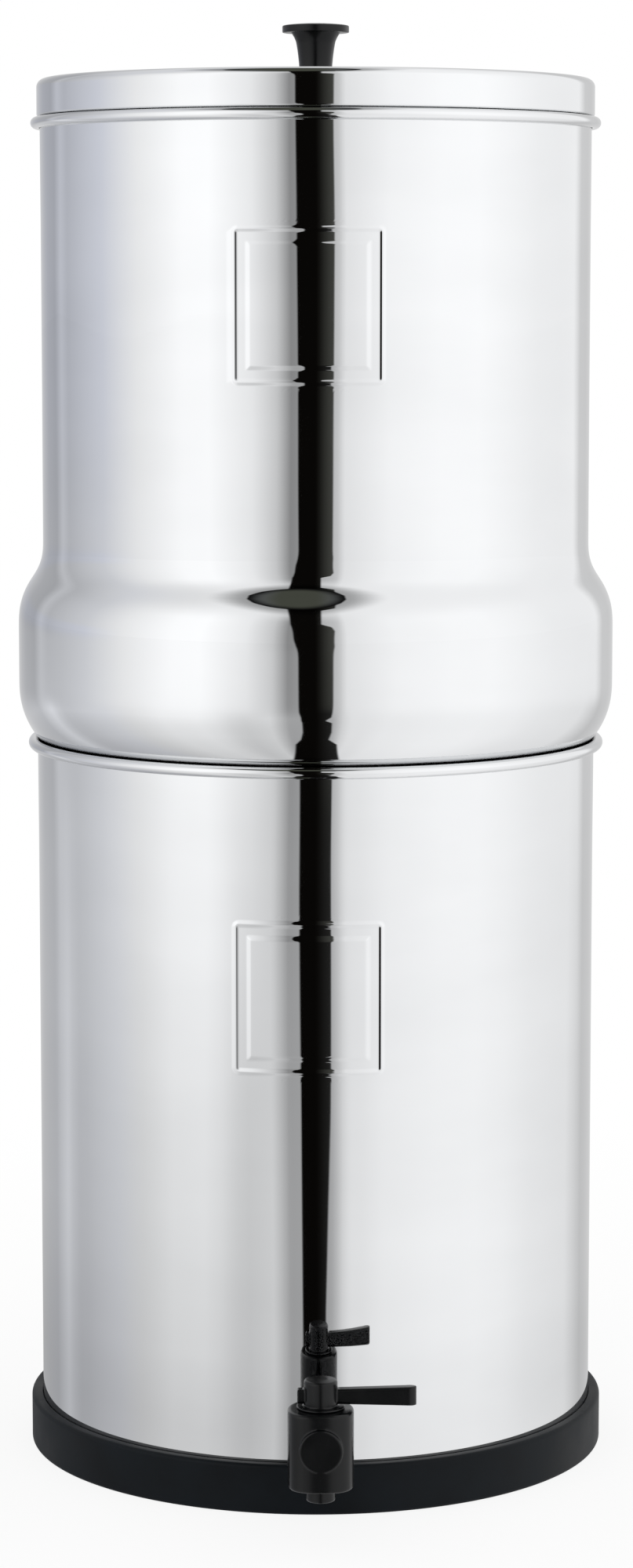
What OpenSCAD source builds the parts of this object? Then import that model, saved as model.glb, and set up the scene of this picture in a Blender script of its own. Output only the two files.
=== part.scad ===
// Gravity water filter with tap, in millimetres.
// The upper chamber, a bowl and a wall welded together, holds four ceramic candles and stands in
// the rim of the lower chamber.
// Water seeps through the candles, drips from their stems and is drawn off at the tap.
// +Z is up, the tap faces -Y, and the origin is on the chambers' axis at the table.

/* [Chambers] */
// Outer radius of the lower chamber's wall
lower_r = 104.4; // [95:0.1:115]
// Height from the lower chamber's underside to the centre of its rim bead
lower_h = 264.7; // [200:0.1:320]
// How much smaller the upper chamber's wall is, in radius
upper_inset = 2.5; // [0.5:0.1:6]
// Height of the upper chamber's straight wall, from the shoulder to the rim bead's centre
upper_wall_h = 156.1; // [100:0.1:220]
// Thickness of the steel sheet
wall = 0.8; // [0.6:0.1:1.2]
// Outer radius of the rolled rim beads
bead_r = 2.1; // [1.8:0.1:3]
// Bend radius where the wall meets the floor
corner_r = 6; // [3:0.5:12]
// Radius of the raised panel under the lower chamber
panel_r = 84; // [60:1:86]
// Rise of that panel
panel_rise = 4; // [1:0.5:8]

/* [Bulge at the foot of the upper chamber] */
// How far the bulge stands out past the lower chamber's wall
bulge_over = 6.8; // [4:0.1:10]
// Bend radius of the bulge's lower curve
bulge_low_r = 30; // [20:0.5:36]
// Height of the bulge's upright band
bulge_band = 24.9; // [5:0.1:50]
// Bend radius of the bulge's upper curve
bulge_up_r = 26; // [15:0.5:40]
// Bend radius of the hollow curve between bulge and wall
shoulder_r = 17.9; // [12:0.1:30]
// Depth of the spigot that drops into the lower chamber, below the rim bead's centre
spigot_h = 17.8; // [12:0.1:30]

/* [Lid] */
// How far the lid's skirt stands out past the upper chamber's wall
lid_over = 1.1; // [0:0.1:1.5]
// Height of the lid's skirt above its seat
lid_h = 13.8; // [8:0.1:25]
// Radius of the lid's top edge
lid_edge_r = 3; // [2:0.1:6]
// Rise of the lid's top towards its middle
lid_crown = 0.5; // [0:0.1:3]
// Depth of the lid's spigot inside the chamber mouth
lid_spigot_h = 8; // [4:0.5:15]

/* [Lid knob] */
// Height of the knob
knob_h = 20; // [16:0.5:35]
// Radius of the knob's disc
knob_disc_r = 12.3; // [10.5:0.1:18]
// Thickness of the disc at its edge
knob_disc_t = 2.6; // [1.5:0.1:4]
// Rise of the disc's crown
knob_crown = 0.8; // [0.2:0.1:2]
// Radius of the knob's stem at the lid
knob_foot_r = 6; // [5:0.1:7]
// Radius of the stem below its flare
knob_neck_r = 6.9; // [6:0.1:7.5]
// Radius of the flare under the disc
knob_flare_r = 3; // [1:0.1:3.5]
// Radius of the screw that holds the knob
screw_r = 2; // [1.5:0.1:2.5]
// Length of the screw's shank
screw_l = 11; // [8:0.5:14]
// Radius of the washer under the screw's head
knob_washer_r = 6; // [5:0.5:9]
// Thickness of that washer
knob_washer_t = 1; // [0.5:0.1:2]

/* [Base ring] */
// Height of the rubber base ring
ring_h = 18.2; // [10:0.1:30]
// Thickness of the ring's upright wall
ring_wall = 4.2; // [2.5:0.1:8]
// Thickness of the ledge that the chamber stands on
ring_ledge_t = 3; // [2:0.1:6]
// Width of that ledge, inwards from the chamber's wall
ring_ledge_w = 13; // [10:0.5:18]

/* [Candles] */
// Number of candles
candle_count = 4; // [2:1:4]
// Radius of the circle that the candles stand on
candle_circle_r = 52; // [48:0.5:64]
// Outer radius of a candle's ceramic shell
candle_r = 25; // [20:0.5:27]
// Height of a candle, without its stem
candle_h = 178; // [120:1:200]
// Thickness of the ceramic
candle_wall = 7; // [4:0.5:10]
// Rounding radius of the ceramic's top
candle_dome_r = 18; // [12:0.5:19]
// Wall of the candle's base cup
cup_wall = 1.6; // [1:0.1:2.5]
// Height of the base cup
cup_h = 15; // [10:0.5:25]
// Thickness of the base cup's floor
cup_floor = 4; // [2:0.5:6]
// Outer radius of the candle's stem
stem_r = 6; // [5:0.1:7]
// Bore radius of the stem
stem_bore_r = 3; // [2:0.1:3.5]
// Length of the stem below the base cup
stem_l = 32; // [26:0.5:45]
// Outer radius of the sealing washer under a candle
candle_washer_r = 15; // [12:0.5:19]
// Thickness of that washer
candle_washer_t = 3; // [1.5:0.1:5]
// Radius of the wing nut's hub
wing_hub_r = 9.5; // [9:0.1:12]
// Height of the wing nut
wing_h = 9; // [6:0.5:14]
// Reach of a wing from the stem's axis
wing_reach = 19; // [15:0.5:24]
// Thickness of a wing
wing_t = 3.6; // [2:0.1:5]

/* [Tap] */
// Height of the tap's hole above the lower chamber's underside
tap_up = 29; // [27:0.1:60]
// Distance from the chamber's wall to the tap's upright axis
tap_reach = 38; // [30:0.1:60]
// Radius of the tap's upright barrel
body_r = 11.6; // [11:0.1:15]
// Height of the barrel above the tap's hole
body_up = 17.4; // [14:0.1:25]
// Depth of the barrel below the tap's hole
body_down = 10.4; // [8:0.1:11]
// Radius of the tap's neck
neck_r = 8.4; // [8.2:0.1:9.5]
// Radius of the flange at the wall
flange_r = 10; // [9.8:0.1:10.5]
// Thickness of the flange
flange_t = 3; // [2:0.1:6]
// Radius of the round boss on the barrel's front
boss_r = 7.2; // [4:0.1:8]
// Height of the boss's centre above the tap's hole
boss_up = 5; // [2:0.1:8]
// How far the boss stands out of the barrel
boss_out = 1.5; // [0.5:0.1:4]
// Outer radius of the threaded shank through the wall
shank_r = 7.9; // [7:0.1:8.1]
// Length of the shank inside the chamber
shank_l = 20; // [18:0.5:30]
// Radius of the water way through the shank
inlet_r = 4; // [2.5:0.1:5]
// Thickness of the two rubber washers at the wall
tap_washer_t = 3; // [2:0.1:5]
// Radius of the inner rubber washer
inner_washer_r = 12.5; // [11:0.1:15]
// Width of the back nut across its flats
nut_af = 26; // [22:0.5:30]
// Height of the back nut
nut_h = 8; // [5:0.5:12]

/* [Tap plug and lever] */
// Radius of the turning plug
plug_r = 7.6; // [7:0.1:8]
// Radius of the plug's water way
way_r = 3.4; // [2:0.1:3.5]
// Outer radius of the spout
spout_r = 5.2; // [4.8:0.1:5.5]
// Length of the spout below the barrel
spout_drop = 5.4; // [3:0.1:6.5]
// Thickness of the lip inside the barrel's foot
foot_t = 2.2; // [1.5:0.1:3]
// Radius of the thin collar between barrel and cap
collar_r = 8.5; // [8.2:0.1:10]
// Thickness of that collar
collar_t = 0.8; // [0.5:0.1:2]
// Radius of the cap on the plug
cap_r = 5.9; // [5:0.1:7]
// Height of the cap above the collar
cap_h = 9; // [8:0.1:14]
// Height of the lever's centre line above the collar
lever_up = 3.4; // [3.4:0.1:4.5]
// Reach of the lever from the plug's axis
lever_l = 33.4; // [22:0.1:50]
// Height of the lever at the cap
lever_root_h = 5; // [4:0.1:6]
// Height of the lever at its tip
lever_tip_h = 6.8; // [5:0.1:7.2]
// Width of the lever, seen from above
lever_w = 4.6; // [3:0.1:7]
// Reach of the short stub behind the cap
stub_l = 8.2; // [6.8:0.1:12]
// Cord radius of the plug's sealing rings
o_ring_r = 0.9; // [0.6:0.1:1]

/* [Fits] */
// Gap between the two chambers, and between lid and chamber, at their seats
seat_gap = 0.3; // [0.2:0.05:0.4]
// Radial gap round the lid's spigot
lid_gap = 0.6; // [0.4:0.1:1]
// Radial gap round a turning shaft
running_gap = 0.05; // [0.02:0.01:0.1]
// Gap between pieces that are clamped or pushed together
contact_gap = 0.05; // [0.02:0.01:0.1]
// Radial gap round a bolt or a shank in its hole
hole_gap = 0.3; // [0.2:0.1:0.6]

/* [Hidden] */
$fn = 96;
arc_step = 6;          // degrees between the points of a bend
steel = "#d9dbde";
black_plastic = "#1b1c1f";
black_rubber = "#232427";
ceramic_white = "#efece4";
candle_plastic = "#d8dadc";
zinc = "#b9bcc0";

// Lower chamber
chamber_z = ring_ledge_t + contact_gap;
lower_in_r = lower_r - wall;
lower_bead = [lower_in_r + bead_r, chamber_z + lower_h];
bead_end = -120;       // where the rolled edge stops, past the lowest point of the bead

// Upper chamber
upper_r = lower_r - upper_inset;
upper_in_r = upper_r - wall;
bulge_r = lower_r + bulge_over;
spigot_r = lower_in_r - seat_gap;
spigot_corner_r = 4;
neck_bend_r = bead_r + seat_gap;
low_c = [bulge_r - bulge_low_r,
         lower_bead[1] + sqrt(pow(bulge_low_r + neck_bend_r, 2)
                              - pow(lower_bead[0] - bulge_r + bulge_low_r, 2))];
low_angle = atan2(lower_bead[1] - low_c[1], lower_bead[0] - low_c[0]);
up_c = [bulge_r - bulge_up_r, low_c[1] + bulge_band];
up_angle = acos(1 - (bulge_r - upper_r) / (bulge_up_r + shoulder_r));
shoulder_c = [upper_r + shoulder_r, up_c[1] + (bulge_up_r + shoulder_r) * sin(up_angle)];
upper_bead = [upper_in_r + bead_r, shoulder_c[1] + upper_wall_h];
floor_z = lower_bead[1] - spigot_h;
floor_top = floor_z + wall;

// Lid
lid_r = upper_r + lid_over;
lid_spigot_r = upper_in_r - lid_gap;
lid_bend_r = wall + 0.2;
lid_neck_r = lid_r - lid_spigot_r - lid_bend_r;
lid_bend_x = lid_r - lid_bend_r;
lid_z = upper_bead[1] - lid_bend_r
        + sqrt(pow(lid_bend_r + bead_r + seat_gap, 2) - pow(upper_bead[0] - lid_bend_x, 2));
lid_top = lid_z + lid_h;
knob_z = lid_top + lid_crown + contact_gap;
screw_head_r = screw_r * 2;
screw_head_h = screw_r * 1.2;
knob_washer_z = lid_top + lid_crown - wall - contact_gap - knob_washer_t;
screw_head_z = knob_washer_z - contact_gap - screw_head_h;

// Candles
washer_z = floor_top + contact_gap;
cup_z = washer_z + candle_washer_t + contact_gap;
cup_r = candle_r + contact_gap + cup_wall;
ceramic_z = cup_z + cup_floor + contact_gap;
ceramic_h = candle_h - cup_floor - contact_gap;
wing_z = floor_z - contact_gap - wing_h;
first_candle_angle = 45;

// Tap
tap_z = chamber_z + tap_up;
tap_y = -(lower_r + tap_reach);
body_top = tap_z + body_up;
body_foot = tap_z - body_down;
flange_y = -(lower_r + contact_gap + tap_washer_t + contact_gap);
inner_washer_y = -(lower_in_r - contact_gap - tap_washer_t);
nut_y = inner_washer_y + contact_gap;
body_round = 1;
plug_foot = body_foot + foot_t + contact_gap;
collar_z = body_top + contact_gap;
cap_z = collar_z + collar_t;
lever_z = cap_z + lever_up;
lever_tip_round = 1.2;
cap_round = 1.2;
spout_end = body_foot - spout_drop;
foot_hole_r = spout_r + hole_gap;
o_ring_groove_r = plug_r - 2 * o_ring_r - contact_gap;
o_ring_z = [tap_z - way_r - 2.2 * o_ring_r, tap_z + way_r + 2.2 * o_ring_r];

// Points of an arc about c, from angle a0 to angle a1, in either direction
function arc(c, r, a0, a1) =
    let (n = max(2, ceil(abs(a1 - a0) / arc_step)))
    [for (i = [0:n]) c + r * [cos(a0 + (a1 - a0) * i / n), sin(a0 + (a1 - a0) * i / n)]];

function reversed(points) = [for (i = [len(points) - 1:-1:0]) points[i]];

// Rolled rim: the wall's two faces carry on round the bead, so t is the depth below the outer face
function rolled_rim(c, t) = arc(c, bead_r - wall + t, 180, bead_end);

// The lower chamber's section, from the middle of its floor to the end of its rolled rim
function lower_skin(t) =
    let (mitre = t * tan(22.5))
    concat(
        [[0, chamber_z + panel_rise + t],
         [panel_r + mitre, chamber_z + panel_rise + t],
         [panel_r + panel_rise + mitre, chamber_z + t]],
        arc([lower_r - corner_r, chamber_z + corner_r], corner_r - t, -90, 0),
        rolled_rim(lower_bead, t));

// The upper chamber's bowl: floor, spigot, neck, bulge and shoulder
function bowl_skin(t) = concat(
    [[0, floor_z + t]],
    arc([spigot_r - spigot_corner_r, floor_z + spigot_corner_r], spigot_corner_r - t, -90, 0),
    arc(lower_bead, neck_bend_r + t, 180, 180 + low_angle),
    arc(low_c, bulge_low_r - t, low_angle, 0),
    arc(up_c, bulge_up_r - t, 0, up_angle),
    arc(shoulder_c, shoulder_r + t, 180 + up_angle, 180));

// Its wall, butt-welded to the bowl where the shoulder ends, with the rolled rim
function wall_skin(t) = concat([[upper_r - t, shoulder_c[1] + contact_gap]], rolled_rim(upper_bead, t));

// The lid's section: crowned top, edge, skirt, step over the rim bead and spigot
function lid_skin(t) =
    let (flat_r = lid_r - lid_edge_r, rings = 8)
    concat(
        [for (i = [0:rings - 1]) let (r = flat_r * i / rings)
            [r, lid_top + lid_crown * (1 - pow(r / flat_r, 2)) - t]],
        arc([flat_r, lid_top - lid_edge_r], lid_edge_r - t, 90, 0),
        arc([lid_bend_x, lid_z + lid_bend_r], lid_bend_r - t, 0, -90),
        arc([lid_spigot_r + lid_neck_r, lid_z - lid_neck_r], lid_neck_r + t, 90, 180),
        [[lid_spigot_r - t, lid_z - lid_spigot_h]]);

// A sheet-metal vessel turned about the axis, from its outer and inner faces
module spun(outer, inner) rotate_extrude() polygon(concat(outer, reversed(inner)));

// A round bar along -Y from y0 outwards, on the tap's hole axis raised by up
module bar(r, y0, y1, up = 0)
    translate([0, y0, tap_z + up]) rotate([90, 0, 0]) cylinder(r = r, h = y0 - y1);

module on_tap_axis() translate([0, tap_y, 0]) children();

module at_candle(i)
    rotate(first_candle_angle + (i - 1) * 360 / candle_count)
        translate([candle_circle_r, 0, 0]) children();

module base_ring() color(black_rubber) {
    in_r = lower_r + contact_gap;
    out_r = in_r + ring_wall;
    foot_round = 1;
    top_round = min(1.5, ring_wall / 2);
    seat_r = lower_r - corner_r;
    rotate_extrude() polygon(concat(
        [[lower_r - ring_ledge_w, 0]],
        arc([out_r - foot_round, foot_round], foot_round, -90, 0),
        arc([out_r - top_round, ring_h - top_round], top_round, 0, 90),
        [[in_r, ring_h]],
        arc([seat_r, chamber_z + corner_r], corner_r + contact_gap, 0, -90),
        [[lower_r - ring_ledge_w, ring_ledge_t]]));
}

module lower_chamber() color(steel) difference() {
    spun(lower_skin(0), lower_skin(wall));
    bar(shank_r + hole_gap, -lower_r + 2 * corner_r, -lower_r - bead_r);
}

module upper_bowl() color(steel) difference() {
    spun(bowl_skin(0), bowl_skin(wall));
    for (i = [1:candle_count]) at_candle(i)
        translate([0, 0, floor_z - wall]) cylinder(r = stem_r + hole_gap, h = 3 * wall);
}

module upper_wall() color(steel) spun(wall_skin(0), wall_skin(wall));

module tap_body() color(black_plastic) difference() {
    union() {
        on_tap_axis() rotate_extrude() polygon(concat(
            [[0, body_foot]],
            arc([body_r - body_round, body_foot + body_round], body_round, -90, 0),
            arc([body_r - body_round, body_top - body_round], body_round, 0, 90),
            [[0, body_top]]));
        bar(boss_r, tap_y, tap_y - body_r - boss_out, boss_up);
        bar(neck_r, flange_y, tap_y);
        bar(flange_r, flange_y, flange_y - flange_t);
        bar(shank_r, -lower_in_r + shank_l, flange_y - flange_t / 2);
    }
    on_tap_axis() {
        translate([0, 0, body_foot + foot_t]) cylinder(r = plug_r + running_gap, h = body_up + body_down);
        translate([0, 0, body_foot - body_round]) cylinder(r = foot_hole_r, h = foot_t + 2 * body_round);
    }
    bar(inlet_r, -lower_in_r + shank_l + wall, tap_y);
}

// A flat rubber washer along Y, squeezed to the round of the chamber's wall
module tap_washer_outer() color(black_rubber) difference() {
    bar(flange_r + 0.5, -lower_r + corner_r, flange_y + contact_gap);
    cylinder(r = lower_r + contact_gap, h = tap_z + 2 * flange_r, $fn = 256);
    bar(shank_r + contact_gap, 0, tap_y);
}

module tap_washer_inner() color(black_rubber) difference() {
    intersection() {
        bar(inner_washer_r, inner_washer_y, -lower_r);
        cylinder(r = lower_in_r - contact_gap, h = tap_z + 2 * inner_washer_r, $fn = 256);
    }
    bar(shank_r + contact_gap, 0, tap_y);
}

// Hexagon nut with a round flange wider than its corners
module tap_back_nut() color(black_plastic) difference() {
    corner_reach = nut_af / 2 / cos(30);
    union() {
        translate([0, nut_y + nut_h, tap_z]) rotate([90, 30, 0])
            cylinder(r = corner_reach, h = nut_h, $fn = 6);
        bar(corner_reach + 0.6, nut_y + nut_h / 4, nut_y);
    }
    bar(shank_r + contact_gap, 0, tap_y);
}

// The lever's side outline: deeper towards its tip, with rounded corners
module lever_side() {
    round = lever_tip_round;
    polygon(concat(
        [[0, -lever_root_h / 2]],
        arc([lever_l - round, -lever_tip_h / 2 + round], round, -90, 0),
        arc([lever_l - round, lever_tip_h / 2 - round], round, 0, 90),
        [[0, lever_root_h / 2]]));
}

module lever() translate([0, tap_y, lever_z]) {
    intersection() {
        rotate([90, 0, 0]) translate([0, 0, -lever_w]) linear_extrude(2 * lever_w) lever_side();
        union() {
            translate([0, -lever_w / 2, -lever_tip_h]) cube([lever_l - lever_w / 2, lever_w, 2 * lever_tip_h]);
            translate([lever_l - lever_w / 2, 0, -lever_tip_h]) cylinder(r = lever_w / 2, h = 2 * lever_tip_h);
        }
    }
    translate([-stub_l, -lever_w / 2, -lever_root_h / 2]) cube([stub_l, lever_w, lever_root_h]);
}

// The turning plug, in one moulding with the spout below it and the cap and lever above
module tap_plug() color(black_plastic) difference() {
    union() {
        on_tap_axis() {
            translate([0, 0, plug_foot]) cylinder(r = plug_r, h = collar_z - plug_foot);
            translate([0, 0, collar_z]) cylinder(r = collar_r, h = collar_t);
            translate([0, 0, spout_end]) cylinder(r = spout_r, h = plug_foot - spout_end);
            translate([0, 0, body_foot]) cylinder(r = foot_hole_r - running_gap, h = plug_foot - body_foot);
            rotate_extrude() polygon(concat(
                [[0, cap_z], [cap_r, cap_z]],
                arc([cap_r - cap_round, cap_z + cap_h - cap_round - 0.4], cap_round, 0, 80),
                [[0, cap_z + cap_h]]));
        }
        lever();
    }
    on_tap_axis() {
        translate([0, 0, spout_end - 1]) cylinder(r = way_r, h = tap_z - spout_end + 1);
        translate([0, 0, tap_z]) rotate([0, -90, 0]) cylinder(r = way_r, h = plug_r + 1);
        translate([0, 0, tap_z]) sphere(r = way_r);
        for (z = o_ring_z) translate([0, 0, z]) difference() {
            translate([0, 0, -o_ring_r - contact_gap]) cylinder(r = plug_r + 1, h = 2 * (o_ring_r + contact_gap));
            translate([0, 0, -2 * o_ring_r]) cylinder(r = o_ring_groove_r, h = 4 * o_ring_r);
        }
    }
}

module o_ring(z) color(black_rubber) on_tap_axis()
    translate([0, 0, z]) rotate_extrude() translate([plug_r - o_ring_r, 0]) circle(r = o_ring_r);

module candle_ceramic(i) color(ceramic_white) at_candle(i) {
    in_r = candle_r - candle_wall;
    in_dome_r = candle_dome_r - candle_wall;
    dome_z = ceramic_z + ceramic_h - candle_dome_r;
    spun(
        concat([[candle_r, ceramic_z]],
               arc([candle_r - candle_dome_r, dome_z], candle_dome_r, 0, 90),
               [[0, dome_z + candle_dome_r]]),
        concat([[in_r, ceramic_z]],
               arc([candle_r - candle_dome_r, dome_z], in_dome_r, 0, 90),
               [[0, dome_z + in_dome_r]]));
}

// The base cup that the ceramic is bonded into, with its threaded stem and drip bore
module candle_base(i) color(candle_plastic) at_candle(i) difference() {
    union() {
        translate([0, 0, cup_z]) cylinder(r = cup_r, h = cup_h);
        translate([0, 0, cup_z - stem_l]) cylinder(r = stem_r, h = stem_l + cup_floor);
    }
    translate([0, 0, cup_z + cup_floor]) cylinder(r = candle_r + contact_gap, h = cup_h);
    translate([0, 0, cup_z - stem_l - 1]) cylinder(r = stem_bore_r, h = stem_l + cup_h);
}

module candle_washer(i) color(black_rubber) at_candle(i)
    translate([0, 0, washer_z]) difference() {
        cylinder(r = candle_washer_r, h = candle_washer_t);
        translate([0, 0, -1]) cylinder(r = stem_r + contact_gap, h = candle_washer_t + 2);
    }

module candle_wing_nut(i) color(candle_plastic) at_candle(i)
    translate([0, 0, wing_z]) difference() {
        union() {
            cylinder(r = wing_hub_r, h = wing_h);
            for (side = [0, 180]) rotate([90, 0, side]) translate([0, 0, -wing_t / 2])
                linear_extrude(wing_t) polygon(concat(
                    [[stem_r + 1, 0]],
                    arc([wing_reach - 2.5, 2.5], 2.5, -90, 0),
                    arc([wing_reach - 2.5, wing_h - 2.5], 2.5, 0, 90),
                    [[stem_r + 1, wing_h - 1]]));
        }
        translate([0, 0, -1]) cylinder(r = stem_r + contact_gap, h = wing_h + 2);
    }

module lid() color(steel) difference() {
    spun(lid_skin(0), lid_skin(wall));
    translate([0, 0, lid_top - 2 * wall]) cylinder(r = screw_r + hole_gap, h = 4 * wall + lid_crown);
}

module lid_knob() color(black_plastic) difference() {
    disc_z = knob_z + knob_h - knob_crown - knob_disc_t;
    edge_round = 0.5;
    rotate_extrude() polygon(concat(
        [[0, knob_z], [knob_foot_r, knob_z]],
        arc([knob_neck_r + knob_flare_r, disc_z - knob_flare_r], knob_flare_r, 180, 90),
        [[knob_disc_r, disc_z]],
        arc([knob_disc_r - edge_round, disc_z + knob_disc_t - edge_round], edge_round, 0, 80),
        [for (i = [5:-1:0]) let (r = (knob_disc_r - 1) * i / 6)
            [r, disc_z + knob_disc_t + knob_crown * (1 - pow(r / knob_disc_r, 2))]]));
    translate([0, 0, knob_z - 1]) cylinder(r = screw_r + contact_gap, h = screw_l);
}

module lid_washer() color(zinc) translate([0, 0, knob_washer_z]) difference() {
    cylinder(r = knob_washer_r, h = knob_washer_t);
    translate([0, 0, -1]) cylinder(r = screw_r + contact_gap, h = knob_washer_t + 2);
}

// Pan-head screw with a cross recess
module lid_screw() color(zinc) translate([0, 0, screw_head_z]) difference() {
    union() {
        cylinder(r = screw_head_r, h = screw_head_h);
        translate([0, 0, screw_head_h / 2]) cylinder(r = screw_r, h = screw_l);
    }
    for (turn = [0, 90]) rotate(turn)
        translate([-screw_r, -screw_r / 4, -1]) cube([2 * screw_r, screw_r / 2, 1 + screw_head_h / 2]);
}

base_ring();
lower_chamber();
tap_body();
tap_washer_outer();
tap_washer_inner();
tap_back_nut();
tap_plug();
o_ring(o_ring_z[0]);  // tap_o_ring_lower
o_ring(o_ring_z[1]);  // tap_o_ring_upper
upper_bowl();
upper_wall();
for (i = [1:candle_count]) {
    candle_ceramic(i);
    candle_base(i);
    candle_washer(i);
    candle_wing_nut(i);
}
lid();
lid_knob();
lid_washer();
lid_screw();
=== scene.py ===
"""Looks of a gravity water filter: mirror-polished steel chambers, black moulded tap and knob, rubber base
ring and ceramic candles, in a white studio. Sizes are in millimetres and meshes in metres. +Z is up, the tap
faces -Y, and the origin is on the chambers' axis at the table."""
import math

import bmesh
import bpy
import numpy as np
from mathutils import Matrix, Vector


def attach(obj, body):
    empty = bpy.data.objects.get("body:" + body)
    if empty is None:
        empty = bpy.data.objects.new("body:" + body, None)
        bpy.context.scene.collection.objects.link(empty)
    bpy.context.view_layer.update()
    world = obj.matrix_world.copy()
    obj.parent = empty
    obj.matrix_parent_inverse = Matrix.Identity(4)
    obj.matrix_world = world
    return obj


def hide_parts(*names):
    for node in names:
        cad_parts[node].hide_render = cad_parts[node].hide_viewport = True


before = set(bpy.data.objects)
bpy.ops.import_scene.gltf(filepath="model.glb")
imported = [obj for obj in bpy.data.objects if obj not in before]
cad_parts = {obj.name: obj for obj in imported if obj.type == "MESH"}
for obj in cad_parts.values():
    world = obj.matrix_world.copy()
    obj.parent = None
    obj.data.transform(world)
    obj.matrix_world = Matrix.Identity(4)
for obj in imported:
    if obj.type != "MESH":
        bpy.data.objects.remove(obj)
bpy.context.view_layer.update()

MM = 0.001

# ---------------------------------------------------------------- sizes, as in the part's source
# The centre of a bead or a bend is given as (radius, height), and its angles in degrees
WALL = 0.8
BEAD_R = 2.1
SEAT_GAP = 0.3
CONTACT = 0.05
CHAMBER_Z = 3.05
LOWER_R = 104.4
LOWER_IN_R = LOWER_R - WALL
LOWER_BEAD = (LOWER_IN_R + BEAD_R, CHAMBER_Z + 264.7)
CORNER_R = 6.0
PANEL_FLOOR_R, PANEL_FLOOR_RISE = 84.0, 4.0
UPPER_R = LOWER_R - 2.5
UPPER_IN_R = UPPER_R - WALL
BULGE_R = LOWER_R + 6.8
LOW_BEND, UP_BEND, SHOULDER_BEND, BULGE_BAND = 30.0, 26.0, 17.9, 24.9
SPIGOT_R = LOWER_IN_R - SEAT_GAP
SPIGOT_CORNER = 4.0
FLOOR_Z = LOWER_BEAD[1] - 17.8
NECK_BEND = BEAD_R + SEAT_GAP
LOW_C = (BULGE_R - LOW_BEND,
         LOWER_BEAD[1] + math.sqrt((LOW_BEND + NECK_BEND) ** 2 - (LOWER_BEAD[0] - BULGE_R + LOW_BEND) ** 2))
LOW_ANGLE = math.degrees(math.atan2(LOWER_BEAD[1] - LOW_C[1], LOWER_BEAD[0] - LOW_C[0]))
UP_C = (BULGE_R - UP_BEND, LOW_C[1] + BULGE_BAND)
UP_ANGLE = math.degrees(math.acos(1 - (BULGE_R - UPPER_R) / (UP_BEND + SHOULDER_BEND)))
SHOULDER_C = (UPPER_R + SHOULDER_BEND, UP_C[1] + (UP_BEND + SHOULDER_BEND) * math.sin(math.radians(UP_ANGLE)))
UPPER_BEAD = (UPPER_IN_R + BEAD_R, SHOULDER_C[1] + 156.1)
LID_R = UPPER_R + 1.1
LID_SPIGOT_R = UPPER_IN_R - 0.6
LID_BEND = WALL + 0.2
LID_NECK = LID_R - LID_SPIGOT_R - LID_BEND
LID_BEND_X = LID_R - LID_BEND
LID_Z = (UPPER_BEAD[1] - LID_BEND
         + math.sqrt((LID_BEND + BEAD_R + SEAT_GAP) ** 2 - (UPPER_BEAD[0] - LID_BEND_X) ** 2))
LID_TOP = LID_Z + 13.8
LID_CROWN, LID_EDGE, LID_SPIGOT_H = 0.5, 3.0, 8.0
SCREW_HOLE_R = 2.3
KNOB_Z, KNOB_H, KNOB_DISC_R, KNOB_DISC_T, KNOB_CROWN = LID_TOP + LID_CROWN + CONTACT, 20.0, 12.3, 2.6, 0.8
RING_H, RING_WALL, RING_LEDGE_T, RING_LEDGE_W = 18.2, 4.2, 3.0, 13.0
TAP_Z, TAP_Y = 32.05, -142.4
SHANK_R, SHANK_END_Y = 7.9, -LOWER_IN_R + 20.0
FLANGE_Y = -(LOWER_R + 2 * CONTACT + 3.0)
BODY_R, BODY_TOP, BODY_FOOT = 11.6, TAP_Z + 17.4, TAP_Z - 10.4
PLUG_R, SPOUT_R, SPOUT_END = 7.6, 5.2, BODY_FOOT - 5.4
COLLAR_Z, COLLAR_R, CAP_R = BODY_TOP + CONTACT, 8.5, 5.9
CAP_Z, CAP_TOP = COLLAR_Z + 0.8, COLLAR_Z + 9.8
LEVER_Z, LEVER_L, LEVER_ROOT_H, LEVER_TIP_H, LEVER_W, STUB_L = CAP_Z + 3.4, 33.4, 5.0, 6.8, 4.6, 8.2
CANDLE_RING_R, FIRST_CANDLE, CANDLE_R, CUP_R = 52.0, 45, 25.0, 26.65
CERAMIC_T, DOME_R = 7.0, 18.0
CUP_Z = FLOOR_Z + WALL + 2 * CONTACT + 3.0
CUP_H, CUP_FLOOR = 15.0, 4.0
CERAMIC_Z, CERAMIC_TOP = CUP_Z + CUP_FLOOR + CONTACT, CUP_Z + 178.0
STEM_R, STEM_END = 6.0, CUP_Z - 32.0
WING_Z, WING_H, WING_HUB_R, WING_REACH, WING_T = FLOOR_Z - CONTACT - 9.0, 9.0, 9.5, 19.0, 3.6

# ---------------------------------------------------------------- nodes


def feed(tree, node, inputs):
    """Sets a node's inputs. An input is a value or another node's output socket."""
    for key, value in inputs.items():
        if isinstance(value, bpy.types.NodeSocket):
            tree.links.new(value, node.inputs[key])
        else:
            node.inputs[key].default_value = value


def add(tree, kind, inputs=None, **settings):
    """A node with its settings and inputs."""
    node = tree.nodes.new(kind)
    for name, value in settings.items():
        setattr(node, name, value)
    feed(tree, node, inputs or {})
    return node


def bare_tree(owner):
    """The emptied node tree of a material or a world."""
    owner.use_nodes = True
    owner.node_tree.nodes.clear()
    return owner.node_tree


def rgb(text):
    """The linear colour of an sRGB hex value."""
    parts = [int(text[i:i + 2], 16) / 255 for i in (1, 3, 5)]
    return tuple(c / 12.92 if c <= 0.04045 else ((c + 0.055) / 1.055) ** 2.4 for c in parts) + (1.0,)


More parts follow.
